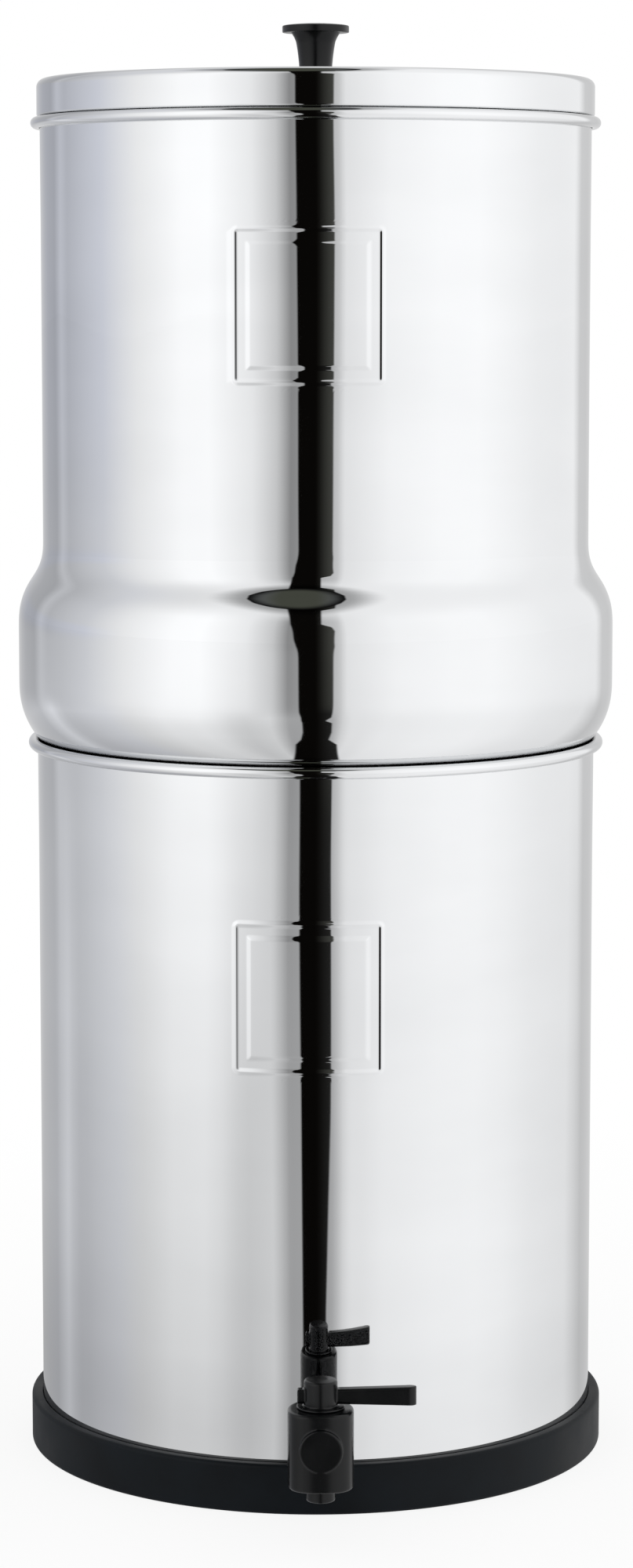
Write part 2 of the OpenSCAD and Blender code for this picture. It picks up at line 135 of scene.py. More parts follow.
def material(name):
    """A new material with its tree, its shader and the place on the piece."""
    mat = bpy.data.materials.new(name)
    tree = bare_tree(mat)
    shader = add(tree, "ShaderNodeBsdfPrincipled")
    add(tree, "ShaderNodeOutputMaterial", {"Surface": shader.outputs["BSDF"]})
    return mat, tree, shader, add(tree, "ShaderNodeTexCoord").outputs["Object"]


def noise(tree, place, size_mm, detail, stretch=(1, 1, 1)):
    """Noise whose grains are about size_mm across."""
    scaled = add(tree, "ShaderNodeMapping", {"Vector": place, "Scale": stretch})
    return add(tree, "ShaderNodeTexNoise", {"Vector": scaled.outputs[0], "Scale": 1000 / size_mm,
                                            "Detail": detail}).outputs[0]


# Nearly all of a noise lies between these values
NOISE_LOW, NOISE_HIGH = 0.3, 0.7


def spread(tree, value, low, high, start=NOISE_LOW, end=NOISE_HIGH):
    """value between start and end becomes a number between low and high."""
    return add(tree, "ShaderNodeMapRange", {"Value": value, "From Min": start, "From Max": end,
                                            "To Min": low, "To Max": high}).outputs[0]


def by_stops(tree, share, stops):
    """The colour at a share of the way through stops, given as (position, colour)."""
    ramp = add(tree, "ShaderNodeValToRGB", {"Fac": share})
    band = ramp.color_ramp
    while len(band.elements) < len(stops):
        band.elements.new(0.5)
    for element, (position, color) in zip(band.elements, stops):
        element.position, element.color = position, color
    return ramp.outputs[0]


def tint(tree, value, dark, light):
    """A colour between two hex values, by a noise."""
    return by_stops(tree, value, [(NOISE_LOW, rgb(dark)), (NOISE_HIGH, rgb(light))])


def bumps(tree, height, depth_mm, strength=1.0):
    """The direction of a surface with bumps of a depth."""
    return add(tree, "ShaderNodeBump", {"Height": height, "Distance": depth_mm * MM,
                                        "Strength": strength}).outputs[0]


# The bottom of the crevice between the vessels, as (radius, height). The steel's painted shade is centred on it
CREVICE = (LOWER_BEAD[0] - 1.5, LOWER_BEAD[1] + 1.9)


def mirror_steel():
    """Stainless steel sheet, buffed to a mirror: near-white metal, with faint buffing haze in bands that run
    round the vessel and soften the reflections a little here and there. Within about a millimetre of the
    crevice between the vessels the colour is painted dark brown: painted shade of the crevice."""
    mat, tree, shader, place = material("stainless_steel_mirror_polished")
    haze = noise(tree, place, 90, 3, (1, 1, 3))
    level = add(tree, "ShaderNodeVectorMath", {0: place, 1: (1, 1, 0)}, operation="MULTIPLY").outputs[0]
    across = add(tree, "ShaderNodeVectorMath", {0: level}, operation="LENGTH").outputs["Value"]
    up = add(tree, "ShaderNodeSeparateXYZ", {0: place}).outputs[2]
    section = add(tree, "ShaderNodeCombineXYZ", {0: across, 2: up}).outputs[0]
    # Painted shade: the base colour turns dark brown near the crevice's bottom and fades out by 1.4 mm away
    away = add(tree, "ShaderNodeVectorMath", {0: section, 1: (CREVICE[0] * MM, 0, CREVICE[1] * MM)},
               operation="DISTANCE").outputs["Value"]
    painted_crevice_shade = spread(tree, away, 0.75, 0.0, 0.0005, 0.0014)
    bare = tint(tree, haze, "#d9dadb", "#dddedf")
    steel_with_painted_shade = add(tree, "ShaderNodeMix", {0: painted_crevice_shade, 6: bare, 7: rgb("#1f1a17")}, data_type="RGBA").outputs[2]
    feed(tree, shader, {"Metallic": 1.0, "Base Color": steel_with_painted_shade, "Roughness": spread(tree, haze, 0.012, 0.035),
                        "Normal": bumps(tree, noise(tree, place, 3, 2, (1, 1, 4)), 0.0004)})
    return mat


def satin_steel():
    """Stainless steel sheet as drawn, inside the vessels: greyer, with drawing lines round the wall."""
    mat, tree, shader, place = material("stainless_steel_satin_drawn")
    lines = noise(tree, place, 18, 3, (1, 1, 30))
    feed(tree, shader, {"Metallic": 1.0, "Base Color": tint(tree, lines, "#c3c6ca", "#d6d8da"),
                        "Roughness": spread(tree, lines, 0.2, 0.34), "Normal": bumps(tree, lines, 0.003)})
    return mat


def black_moulding():
    """Glass-filled polypropylene, injection moulded: deep black under a smooth satin skin. Flow marks of about
    9 mm make the sheen a little softer in places; seen straight on the faces stay nearly black."""
    mat, tree, shader, place = material("polypropylene_black_moulded")
    cloud = noise(tree, place, 9, 3)
    feed(tree, shader, {"Base Color": tint(tree, cloud, "#040506", "#08090a"), "IOR": 1.5,
                        "Roughness": spread(tree, cloud, 0.22, 0.27), "Specular IOR Level": 0.27})
    return mat


def black_rubber():
    """Moulded nitrile rubber: matt blue-black with a thin dusty bloom and a soft grain of about 0.6 mm."""
    mat, tree, shader, place = material("nitrile_rubber_moulded")
    bloom = noise(tree, place, 22, 4)
    feed(tree, shader, {"Base Color": tint(tree, bloom, "#070b0f", "#0e1419"), "IOR": 1.5,
                        "Roughness": spread(tree, bloom, 0.4, 0.52), "Specular IOR Level": 0.12,
                        "Normal": bumps(tree, noise(tree, place, 0.6, 2), 0.02, 0.5)})
    return mat


def fired_ceramic():
    """Slip-cast diatomite ceramic, fired without glaze: chalky off-white, with pores about 0.8 mm apart."""
    mat, tree, shader, place = material("diatomite_ceramic_unglazed")
    patch = noise(tree, place, 14, 4)
    pores = add(tree, "ShaderNodeTexVoronoi", {"Vector": place, "Scale": 1000 / 0.8}).outputs["Distance"]
    feed(tree, shader, {"Base Color": tint(tree, patch, "#e4dfd2", "#f1ede3"), "Roughness": 0.92, "IOR": 1.5,
                        "Normal": bumps(tree, pores, 0.12, 0.5)})
    return mat


def white_moulding():
    """Food-grade polypropylene, moulded in natural white: slightly waxy, with slow flow marks."""
    mat, tree, shader, place = material("polypropylene_white_moulded")
    flow = noise(tree, place, 12, 3, (1, 1, 0.5))
    feed(tree, shader, {"Base Color": tint(tree, flow, "#dcdfe0", "#eceded"), "IOR": 1.49,
                        "Roughness": spread(tree, flow, 0.28, 0.38), "Subsurface Weight": 0.15,
                        "Subsurface Radius": (0.002, 0.002, 0.002)})
    return mat


def plated_steel():
    """Zinc-plated and passivated steel, as on screws: bluish grey with a mottled satin."""
    mat, tree, shader, place = material("steel_zinc_plated")
    mottle = noise(tree, place, 1.5, 3)
    feed(tree, shader, {"Metallic": 1.0, "Base Color": tint(tree, mottle, "#aeb4bc", "#c9ccd2"),
                        "Roughness": spread(tree, mottle, 0.24, 0.38)})
    return mat


MIRROR, SATIN = mirror_steel(), satin_steel()
BLACK, RUBBER = black_moulding(), black_rubber()
CERAMIC, WHITE, ZINC = fired_ceramic(), white_moulding(), plated_steel()

# ---------------------------------------------------------------- Geometry Nodes


def new_tree(name, sockets):
    """A Geometry Nodes tree with named inputs, given as (name, kind)."""
    tree = bpy.data.node_groups.new(name, "GeometryNodeTree")
    for label, kind in sockets:
        tree.interface.new_socket(label, in_out="INPUT", socket_type=kind)
    tree.interface.new_socket("Geometry", in_out="OUTPUT", socket_type="NodeSocketGeometry")
    return tree, tree.nodes.new("NodeGroupInput").outputs


def finish_tree(tree, geometry, finish):
    """Ends a tree: instances made real, smooth shading and the material."""
    real = add(tree, "GeometryNodeRealizeInstances", {"Geometry": geometry})
    smooth = add(tree, "GeometryNodeSetShadeSmooth", {"Geometry": real.outputs[0]})
    coated = add(tree, "GeometryNodeSetMaterial", {"Geometry": smooth.outputs[0], "Material": finish})
    add(tree, "NodeGroupOutput", {0: coated.outputs[0]})
    return tree


def around(tree, index, count, first, radius):
    """The angle, X and Y of one of count places on a circle."""
    share = add(tree, "ShaderNodeMath", {0: index, 1: count}, operation="DIVIDE").outputs[0]
    angle = add(tree, "ShaderNodeMath", {0: share, 1: 2 * math.pi, 2: first}, operation="MULTIPLY_ADD").outputs[0]
    sides = []
    for name in ("COSINE", "SINE"):
        turn = add(tree, "ShaderNodeMath", {0: angle}, operation=name).outputs[0]
        sides.append(add(tree, "ShaderNodeMath", {0: turn, 1: radius}, operation="MULTIPLY").outputs[0])
    return angle, *sides


def turning_tree():
    """Turns a section, drawn in the XZ plane, once round the Z axis, as on a spinning lathe."""
    tree, given = new_tree("turn_a_section", [("Section", "NodeSocketGeometry"), ("Columns", "NodeSocketInt"),
                                              ("Finish", "NodeSocketMaterial")])
    count = add(tree, "GeometryNodeAttributeDomainSize", {0: given["Section"]}).outputs[0]
    wide = add(tree, "FunctionNodeIntegerMath", {0: given["Columns"], 1: 1}, operation="ADD").outputs[0]
    grid = add(tree, "GeometryNodeMeshGrid", {"Vertices X": wide, "Vertices Y": count}).outputs[0]
    index = add(tree, "GeometryNodeInputIndex").outputs[0]
    column = add(tree, "FunctionNodeIntegerMath", {0: index, 1: count}, operation="DIVIDE_FLOOR").outputs[0]
    row = add(tree, "FunctionNodeIntegerMath", {0: index, 1: count}, operation="MODULO").outputs[0]
    place = add(tree, "GeometryNodeInputPosition").outputs[0]
    sampled = add(tree, "GeometryNodeSampleIndex", {0: given["Section"], "Value": place, "Index": row},
                  data_type="FLOAT_VECTOR").outputs[0]
    xyz = add(tree, "ShaderNodeSeparateXYZ", {0: sampled}).outputs
    _, x, y = around(tree, column, given["Columns"], math.pi / 2, xyz[0])
    moved = add(tree, "ShaderNodeCombineXYZ", {0: x, 1: y, 2: xyz[2]}).outputs[0]
    shaped = add(tree, "GeometryNodeSetPosition", {"Geometry": grid, "Position": moved}).outputs[0]
    closed = add(tree, "GeometryNodeMergeByDistance", {"Geometry": shaped, "Distance": 2e-6}).outputs[0]
    return finish_tree(tree, closed, given["Finish"])


def circle_tree():
    """Sets copies of a piece on a circle round the Z axis, each turned to face outwards."""
    tree, given = new_tree("set_in_a_circle", [("Piece", "NodeSocketGeometry"), ("Count", "NodeSocketInt"),
                                               ("Radius", "NodeSocketFloat"), ("First Angle", "NodeSocketFloat"),
                                               ("Finish", "NodeSocketMaterial")])
    points = add(tree, "GeometryNodePoints", {"Count": given["Count"]}).outputs[0]
    index = add(tree, "GeometryNodeInputIndex").outputs[0]
    angle, x, y = around(tree, index, given["Count"], given["First Angle"], given["Radius"])
    place = add(tree, "ShaderNodeCombineXYZ", {0: x, 1: y}).outputs[0]
    set_out = add(tree, "GeometryNodeSetPosition", {"Geometry": points, "Position": place}).outputs[0]
    turned = add(tree, "ShaderNodeCombineXYZ", {2: angle}).outputs[0]
    copies = add(tree, "GeometryNodeInstanceOnPoints", {"Points": set_out, "Instance": given["Piece"],
                                                        "Rotation": turned}).outputs[0]
    return finish_tree(tree, copies, given["Finish"])


RIDGE_SHARE = 0.42


def thread_tree():
    """A screw thread along +Z: a ridge of rounded section that follows a helix. The ridge's radius is a share
    of the pitch."""
    tree, given = new_tree("screw_thread", [("Radius", "NodeSocketFloat"), ("Pitch", "NodeSocketFloat"),
                                            ("Length", "NodeSocketFloat"), ("Finish", "NodeSocketMaterial")])
    turns = add(tree, "ShaderNodeMath", {0: given["Length"], 1: given["Pitch"]}, operation="DIVIDE").outputs[0]
    ridge = add(tree, "ShaderNodeMath", {0: given["Pitch"], 1: RIDGE_SHARE}, operation="MULTIPLY").outputs[0]
    core = add(tree, "ShaderNodeMath", {0: given["Radius"], 1: ridge}, operation="SUBTRACT").outputs[0]
    helix = add(tree, "GeometryNodeCurveSpiral", {"Resolution": 36, "Rotations": turns, "Start Radius": core,
                                                  "End Radius": core, "Height": given["Length"]}).outputs[0]
    level = add(tree, "GeometryNodeSetCurveNormal", {"Curve": helix}, mode="Z_UP").outputs[0]
    section = add(tree, "GeometryNodeCurvePrimitiveCircle", {"Resolution": 8, "Radius": ridge}).outputs[0]
    swept = add(tree, "GeometryNodeCurveToMesh", {"Curve": level, "Profile Curve": section,
                                                  "Fill Caps": True}).outputs[0]
    return finish_tree(tree, swept, given["Finish"])


TURN, CIRCLE, THREAD = turning_tree(), circle_tree(), thread_tree()


def placed(name, data):
    """A new object in the scene."""
    made = bpy.data.objects.new(name, data)
    bpy.context.scene.collection.objects.link(made)
    return made


def settled(holder):
    """The plain mesh that an object's modifiers make. The object itself is removed."""
    made = bpy.data.meshes.new_from_object(holder.evaluated_get(bpy.context.evaluated_depsgraph_get()))
    bpy.data.objects.remove(holder)
    return made


def grown(tree, mesh, **values):
    """The plain mesh that a tree makes from a mesh, with its named inputs given."""
    holder = placed("holder", mesh)
    modifier = holder.modifiers.new("grow", "NODES")
    modifier.node_group = tree
    for item in tree.interface.items_tree:
        if item.in_out == "INPUT" and item.name in values:
            modifier[item.identifier] = values[item.name]
    return settled(holder)


def written(work, mesh):
    """The mesh, with a finished bmesh written into it."""
    work.to_mesh(mesh)
    work.free()
    return mesh


def outward(mesh):
    """Merges doubles and points every face outwards."""
    work = bmesh.new()
    work.from_mesh(mesh)
    bmesh.ops.remove_doubles(work, verts=work.verts, dist=1e-6)
    bmesh.ops.dissolve_degenerate(work, edges=work.edges, dist=1e-7)
    bmesh.ops.recalc_face_normals(work, faces=work.faces)
    return written(work, mesh)


def turned(section, columns, finish):
    """A mesh turned from a section's (radius, height) points in millimetres."""
    flat = bpy.data.meshes.new("section")
    flat.from_pydata([(r * MM, 0, z * MM) for r, z in section], [(i, i + 1) for i in range(len(section) - 1)], [])
    return outward(grown(TURN, flat, Columns=columns, Finish=finish))


def arc(c, r, a0, a1, step):
    """Points on an arc round c, between two angles, at most step degrees apart."""
    count = max(2, math.ceil(abs(a1 - a0) / step))
    angles = [math.radians(a0 + (a1 - a0) * i / count) for i in range(count + 1)]
    return [(c[0] + r * math.cos(a), c[1] + r * math.sin(a)) for a in angles]


def upright(r, z0, z1, fine=(), step=8.0, fine_step=1.8):
    """Points up a straight wall, with a close row at each end, so that its shading stays straight, and finer
    rows between the heights in fine."""
    close = 0.4 if z1 > z0 else -0.4
    stops = sorted([z0 + close, z1 - close, *fine])
    heights = []
    for a, b in zip(stops, stops[1:]):
        size = fine_step if len(fine) == 2 and abs(a - fine[0]) < 1e-6 else step
        count = max(1, round((b - a) / size))
        heights += [a + (b - a) * i / count for i in range(count)]
    heights.append(stops[-1])
    return [(r, z) for z in (heights if z1 > z0 else reversed(heights))]


def eased(points, step, rounds):
    """The same line with its curvature eased, as sheet takes it over a spinning roller: evenly spaced points,
    each moved towards the middle of its neighbours."""
    line = np.array(points)
    run = np.concatenate([[0], np.cumsum(np.hypot(*np.diff(line, axis=0).T))])
    even = np.linspace(0, run[-1], max(4, round(run[-1] / step)) + 1)
    line = np.column_stack([np.interp(even, run, line[:, k]) for k in (0, 1)])
    for _ in range(rounds):
        line[1:-1] = (line[:-2] + 2 * line[1:-1] + line[2:]) / 4
    return [tuple(p) for p in line]


def spun_section(outer, inner):
    """A sheet's section: along its outer skin and back along its inner one."""
    return outer + inner[::-1]


def piece(name, mesh, body, replaced=()):
    """Hangs a finished mesh on a body under a name, and hides the CAD nodes that it stands for."""
    mesh.name = name
    made = placed(name, mesh)
    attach(made, body)
    if replaced:
        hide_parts(*replaced)


def cylinder(r, z0, z1, sides, place=(0, 0, 0), along="Z"):
    """A plain cylinder mesh from z0 to z1 on the Z axis, or on the Y axis, moved to a place. It is a cutter."""
    work = bmesh.new()
    bmesh.ops.create_cone(work, cap_ends=True, segments=sides, radius1=r * MM, radius2=r * MM,
                          depth=(z1 - z0) * MM)
    bmesh.ops.translate(work, verts=work.verts, vec=(0, 0, (z0 + z1) / 2 * MM))
    if along == "Y":
        bmesh.ops.rotate(work, verts=work.verts, matrix=Matrix.Rotation(math.radians(-90), 3, "X"))
    bmesh.ops.translate(work, verts=work.verts, vec=Vector(place) * MM)
    return written(work, bpy.data.meshes.new("cylinder"))


def joined(meshes):
    """Several meshes in one."""
    work = bmesh.new()
    for mesh in meshes:
        work.from_mesh(mesh)
    return written(work, bpy.data.meshes.new("joined"))


def with_modifiers(mesh, *steps):
    """A mesh after modifiers, given as (kind, settings)."""
    holder = placed("holder", mesh)
    for kind, settings in steps:
        modifier = holder.modifiers.new(kind, kind)
        for name, value in settings.items():
            setattr(modifier, name, value)
    return settled(holder)


def drilled(mesh, cutters):
    """A mesh with the cutters' forms taken out of it."""
    tool = placed("cutter", joined(cutters))
    made = with_modifiers(mesh, ("BOOLEAN", {"object": tool, "operation": "DIFFERENCE", "solver": "EXACT"}))
    bpy.data.objects.remove(tool)
    return made


def moulded(forms, voxel, rounding):
    """Overlapping closed forms melted into one moulding with softened edges."""
    return with_modifiers(
        joined(forms), ("REMESH", {"mode": "VOXEL", "voxel_size": voxel * MM, "use_smooth_shade": True}),
        ("SMOOTH", {"factor": 0.5, "iterations": rounding}))


def coat(mesh, *finishes):
    """Gives a mesh these materials and no others."""
    mesh.materials.clear()
    for finish in finishes:
        mesh.materials.append(finish)
    return mesh


def crisp(mesh, degrees=32):
    """Smooth shading that breaks at edges sharper than this."""
    mesh.polygons.foreach_set("use_smooth", [True] * len(mesh.polygons))
    mesh.set_sharp_from_angle(angle=math.radians(degrees))
    return mesh


# ---------------------------------------------------------------- spun steel vessels


# The plaque: half its width and height, its corners' radius and its middle's distance along the wall
PLAQUE_W, PLAQUE_H, PLAQUE_CORNER, PLAQUE_ACROSS = 27.4, 27.8, 2.5, -3.9
# Half the width of its bead and the bead's height, and how far in its field starts, slopes and stands up
BEAD_HALF, BEAD_H = 1.2, 0.26
FIELD_IN, FIELD_SLOPE, FIELD_H = 5.2, 1.8, 0.3
COLUMNS = 288
RIPPLED_R = 90


def plaque_relief(across, up):
    """Height of the pressed plaque, in millimetres: a rounded bead round its edge and a stepped bare field."""
    qx, qy = np.abs(across) - PLAQUE_W + PLAQUE_CORNER, np.abs(up) - PLAQUE_H + PLAQUE_CORNER
    inside = -(np.hypot(np.maximum(qx, 0), np.maximum(qy, 0)) + np.minimum(np.maximum(qx, qy), 0) - PLAQUE_CORNER)
    off = inside - BEAD_HALF
    bead = np.where(np.abs(off) < BEAD_HALF, BEAD_H * np.cos(off / BEAD_HALF * math.pi / 2) ** 2, 0)
    t = np.clip((inside - FIELD_IN) / FIELD_SLOPE, 0, 1)
    return bead + FIELD_H * t * t * (3 - 2 * t)


def ripple(angle, z):
    """The slight unevenness that spinning and buffing leave in thin sheet, in millimetres. It dies out at the
    rolled rims and at the foot, is weaker on the stiff bulge, and only ever goes inwards."""
    waves = (0.05 * np.sin(4 * angle + z / 70) + 0.035 * np.sin(9 * angle - z / 60 + 1.3)
             + 0.012 * np.sin(17 * angle + z / 55 + 2.1) - 0.097)
    ends = (CHAMBER_Z, LOWER_BEAD[1], UPPER_BEAD[1])
    past_bulge = np.clip((z - SHOULDER_C[1]) / 60, 0, 1)
    stiff = np.where((z > LOWER_BEAD[1]) & (z < SHOULDER_C[1] + 60), 0.25 + 0.75 * past_bulge, 1)
    return waves * stiff * np.minimum.reduce([np.clip((np.abs(z - end) - 6) / 30, 0, 1) for end in ends])


def divide_plaque(mesh, wall_r, centre_z):
    """Divides the front of a wall finely where its plaque comes."""
    work = bmesh.new()
    work.from_mesh(mesh)

    def near(v):
        r = math.hypot(v.co.x, v.co.y) / MM
        s = math.atan2(v.co.x, -v.co.y) * wall_r - PLAQUE_ACROSS
        return (abs(r - wall_r) < 0.1 and v.co.y < 0 and abs(s) < PLAQUE_W + 2
                and abs(v.co.z / MM - centre_z) < PLAQUE_H + 2)

    faces = [f for f in work.faces if all(near(v) for v in f.verts)]
    edges = list({e for f in faces for e in f.edges})
    bmesh.ops.subdivide_edges(work, edges=edges, cuts=4, use_grid_fill=True)
    written(work, mesh)


def press_plaque(r, angle, z, wall_r, centre_z):
    """The points' radii once the plaque is pressed into the front of a wall."""
    s, up = angle * wall_r - PLAQUE_ACROSS, z - centre_z
    on_wall = (np.abs(r - wall_r) < 0.1) & (np.abs(s) < PLAQUE_W + 4) & (np.abs(up) < PLAQUE_H + 4)
    return np.where(on_wall, wall_r + plaque_relief(s, up), r)


def shell(name, section, body, nodes, plaque=None, holes=()):
    """A spun and buffed vessel: turned, with its plaque pressed, its sheet slightly uneven and its holes cut. It
    is mirror steel, with satin steel as its second material."""
    mesh = turned(section, COLUMNS, MIRROR)
    if plaque:
        divide_plaque(mesh, *plaque)
    co = np.zeros(len(mesh.vertices) * 3)
    mesh.vertices.foreach_get("co", co)
    co = co.reshape(-1, 3) / MM
    r, angle, z = np.hypot(co[:, 0], co[:, 1]), np.arctan2(co[:, 0], -co[:, 1]), co[:, 2]
    wanted = press_plaque(r, angle, z, *plaque) if plaque else r
    wanted = np.where(r > RIPPLED_R, wanted + ripple(angle, z), wanted)
    co[:, 0], co[:, 1] = np.sin(angle) * wanted, -np.cos(angle) * wanted
    mesh.vertices.foreach_set("co", (co * MM).ravel())
    mesh.update()
    if holes:
        mesh = drilled(mesh, holes)
    piece(name, crisp(coat(mesh, MIRROR, SATIN)), body, nodes)
    return mesh


def inner_satin(mesh, is_inner):
    """Keeps the satin of drawn sheet inside a vessel. is_inner tells a face by its radius and height, and by
    whether it looks at the axis and whether it looks up."""
    for face in mesh.polygons:
        x, y, z = face.center / MM
        inwards = face.normal.x * x + face.normal.y * y < -0.1
        if is_inner(math.hypot(x, y), z, inwards, face.normal.z > 0.3):
            face.material_index = 1


def rolled_rim(c, t):
    """A skin of a rolled rim. The sheet rolls outwards, so that the wall's inner skin is the rim's outside and
    has more points."""
    return arc(c, BEAD_R - WALL + t, 180, -120, 7.5 if t else 15)


def lower_skin(t, fine):
    """The lower chamber's section at a depth t in its sheet, from the middle of its floor to its rim. The
    bends of the raised floor are mitred."""
    mitre = t * math.tan(math.radians(22.5))
    return ([(0, CHAMBER_Z + PANEL_FLOOR_RISE + t)]
            + [(PANEL_FLOOR_R * i / 6, CHAMBER_Z + PANEL_FLOOR_RISE + t) for i in range(1, 6)]
            + [(PANEL_FLOOR_R + mitre, CHAMBER_Z + PANEL_FLOOR_RISE + t),
               (PANEL_FLOOR_R + PANEL_FLOOR_RISE + mitre, CHAMBER_Z + t)]
            + arc((LOWER_R - CORNER_R, CHAMBER_Z + CORNER_R), CORNER_R - t, -90, 0, 6)
            + upright(LOWER_R - t, CHAMBER_Z + CORNER_R, LOWER_BEAD[1], fine)
            + rolled_rim(LOWER_BEAD, t))


def upper_skin(t, fine):
    """The upper chamber's section, likewise. Its bulge is eased into the wall above."""
    eased_to = SHOULDER_C[1] + 8.0
    return ([(0, FLOOR_Z + t), (26, FLOOR_Z + t), (78, FLOOR_Z + t)]
            + arc((SPIGOT_R - SPIGOT_CORNER, FLOOR_Z + SPIGOT_CORNER), SPIGOT_CORNER - t, -90, 0, 8)
            + upright(SPIGOT_R - t, FLOOR_Z + SPIGOT_CORNER, LOWER_BEAD[1])
            + arc(LOWER_BEAD, NECK_BEND + t, 180, 180 + LOW_ANGLE, 5)
            + eased(arc(LOW_C, LOW_BEND - t, LOW_ANGLE, 0, 1) + arc(UP_C, UP_BEND - t, 0, UP_ANGLE, 1)
                    + arc(SHOULDER_C, SHOULDER_BEND + t, 180 + UP_ANGLE, 180, 1)
                    + [(UPPER_R - t, eased_to)], 1.5 if fine else 4.0, 4 if fine else 1)
            + upright(UPPER_R - t, eased_to, UPPER_BEAD[1], fine)
            + rolled_rim(UPPER_BEAD, t))


def lid_skin(t):
    """The lid's section, from the screw's hole over the skirt and the step to the spigot's end."""
    flat_r = LID_R - LID_EDGE
    crown = [(r, LID_TOP + LID_CROWN * (1 - (r / flat_r) ** 2) - t)
             for r in np.linspace(SCREW_HOLE_R, flat_r - 0.5, 14)]
    return (crown + arc((flat_r, LID_TOP - LID_EDGE), LID_EDGE - t, 90, 0, 5)
            + upright(LID_R - t, LID_TOP - LID_EDGE, LID_Z + LID_BEND)
            + arc((LID_BEND_X, LID_Z + LID_BEND), LID_BEND - t, 0, -90, 10)
            + arc((LID_SPIGOT_R + LID_NECK, LID_Z - LID_NECK), LID_NECK + t, 90, 180, 10)
            + upright(LID_SPIGOT_R - t, LID_Z - LID_NECK, LID_Z - LID_SPIGOT_H))


LOWER_PLAQUE_Z, UPPER_PLAQUE_Z = 187.0, 431.0
PLAQUE_SPAN = PLAQUE_H + 3.0


def span(z):
    """The heights between which a wall has finer rows for its plaque."""
    return (z - PLAQUE_SPAN, z + PLAQUE_SPAN)


lower = shell(
    "lower_chamber_shell", spun_section(lower_skin(0, span(LOWER_PLAQUE_Z)), lower_skin(WALL, ())), "base_unit",
    ["lower_chamber"], (LOWER_R, LOWER_PLAQUE_Z), [cylinder(SHANK_R + 0.3, -112, -96, 64, (0, 0, TAP_Z), "Y")])
inner_satin(lower, lambda r, z, inwards, upwards: r < LOWER_IN_R + 0.2 and z < LOWER_BEAD[1]
            and (inwards or (upwards and r < LOWER_IN_R - 0.3)))

stem_holes = []
for i in range(4):
    a = math.radians(FIRST_CANDLE + 90 * i)
    stem_holes.append(cylinder(STEM_R + 0.3, FLOOR_Z - 2, FLOOR_Z + 3, 64,
                               (CANDLE_RING_R * math.cos(a), CANDLE_RING_R * math.sin(a), 0)))
upper = shell(
    "upper_chamber_shell", spun_section(upper_skin(0, span(UPPER_PLAQUE_Z)), upper_skin(WALL, ())), "filter_unit",
    ["upper_bowl", "upper_wall"], (UPPER_R, UPPER_PLAQUE_Z), stem_holes)
inner_satin(upper, lambda r, z, inwards, upwards: (inwards and z > SHOULDER_C[1] and r < UPPER_IN_R + 0.2)
            or (upwards and r < SPIGOT_R - 3 and z < FLOOR_Z + 2))

lid_section = spun_section(lid_skin(0), lid_skin(WALL))
shell("lid_shell", lid_section + lid_section[:1], "lid_unit", ["lid"])

# ---------------------------------------------------------------- knob, base ring


def bezier(p0, p1, p2, p3, count):
    """Points on a cubic curve, count steps long."""
    out = []
    for i in range(count + 1):
        t = i / count
        w = ((1 - t) ** 3, 3 * t * (1 - t) ** 2, 3 * t * t * (1 - t), t ** 3)
        out.append(tuple(sum(w[k] * p[j] for k, p in enumerate((p0, p1, p2, p3))) for j in (0, 1)))
    return out


disc_z = KNOB_Z + KNOB_H - KNOB_CROWN - KNOB_DISC_T
knob_section = ([(0, KNOB_Z), (3, KNOB_Z), (5.5, KNOB_Z), (5.9, KNOB_Z + 0.4)]
                + bezier((5.95, KNOB_Z + 1), (6.1, KNOB_Z + 7), (6.9, KNOB_Z + 11.4), (7.25, KNOB_Z + 13.2), 8)
                + bezier((7.25, KNOB_Z + 13.2), (7.7, KNOB_Z + 14.6), (8.5, KNOB_Z + 15.9), (9.1, disc_z), 8)[1:]
                + [(10.4, disc_z)]
                + arc((KNOB_DISC_R - 0.35, disc_z + 0.35), 0.35, -90, 0, 18)
                + arc((KNOB_DISC_R - 0.5, disc_z + KNOB_DISC_T - 0.5), 0.5, 0, 80, 16)
                + [(r, disc_z + KNOB_DISC_T + KNOB_CROWN * (1 - (r / KNOB_DISC_R) ** 2))
                   for r in (11.2, 10, 8, 6, 4, 2, 0)])
piece("knob", crisp(turned(knob_section, 96, BLACK), 50), "lid_unit", ["lid_knob"])

ring_in, ring_out = LOWER_R + CONTACT, LOWER_R + CONTACT + RING_WALL
ring_section = ([(LOWER_R - RING_LEDGE_W, 0.5), (LOWER_R - RING_LEDGE_W + 0.5, 0), (96, 0), (101, 0)]
                + arc((ring_out - 1.2, 1.2), 1.2, -90, 0, 10)
                + upright(ring_out, 1.2, RING_H - 1.5, step=4)
                + arc((ring_out - 1.5, RING_H - 1.5), 1.5, 0, 90, 10)
                + arc((ring_in + 0.6, RING_H - 0.6), 0.6, 90, 180, 15)
                + arc((LOWER_R - CORNER_R, CHAMBER_Z + CORNER_R), CORNER_R + CONTACT, 0, -90, 8)
                + [(94, RING_LEDGE_T), (LOWER_R - RING_LEDGE_W + 0.5, RING_LEDGE_T),
                   (LOWER_R - RING_LEDGE_W, RING_LEDGE_T - 0.5), (LOWER_R - RING_LEDGE_W, 0.5)])
piece("base_ring_rubber", crisp(turned(ring_section, 300, RUBBER), 50), "base_unit", ["base_ring"])

# ---------------------------------------------------------------- tap

TAP_SIDES = 96
BOSS_R, BOSS_UP, BOSS_OUT = 7.6, 5.0, 1.5
SHANK_CORE_R, SHANK_PITCH, SHANK_THREAD_L = 7.15, 1.8, 17.5
LEVER_EDGE = 0.9
WATER_WAY_R = 3.4


